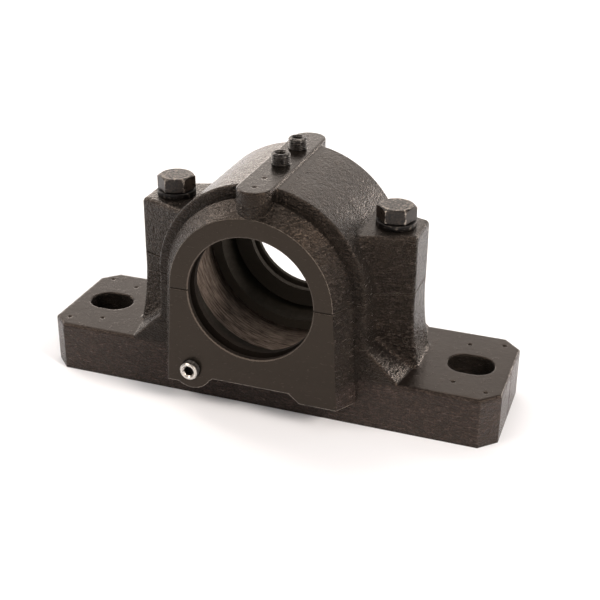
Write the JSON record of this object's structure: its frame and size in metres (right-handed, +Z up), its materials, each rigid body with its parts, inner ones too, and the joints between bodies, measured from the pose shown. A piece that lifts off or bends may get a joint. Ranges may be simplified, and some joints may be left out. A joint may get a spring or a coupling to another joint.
{
  "type": "split plummer block",
  "caption": "Empty cast iron split plummer block housing with a slotted foot, hubbed shaft openings, a ribbed bolted cap and socket plugs.",
  "frame": {"origin": "on the ground under the middle of the bore, midway between the two foot slots", "axes": "+X along the foot, +Y along the bore away from the side with the drain plug, +Z up"},
  "size_m": [0.255, 0.1029, 0.134],
  "materials": {
    "casting_paint": "semi-gloss black-brown paint over sand-cast iron, worn bright at edges, machined seat and joint faces bare",
    "dark_steel": "oil-blackened turned steel",
    "spring_steel": "dark spring steel",
    "ground_steel": "ground steel",
    "bright_steel": "plain turned steel, lightly worn"
  },
  "bodies": {
    "root": {"base": "casting_paint", "cap": "casting_paint", "cap_bolt_left": "dark_steel", "cap_bolt_right": "dark_steel", "spring_washer_left": "spring_steel", "spring_washer_right": "spring_steel", "dowel_pin_left": "ground_steel", "dowel_pin_right": "ground_steel", "lube_plug_front": "bright_steel", "lube_plug_rear": "bright_steel", "drain_plug": "bright_steel"}
  },
  "joints": []
}
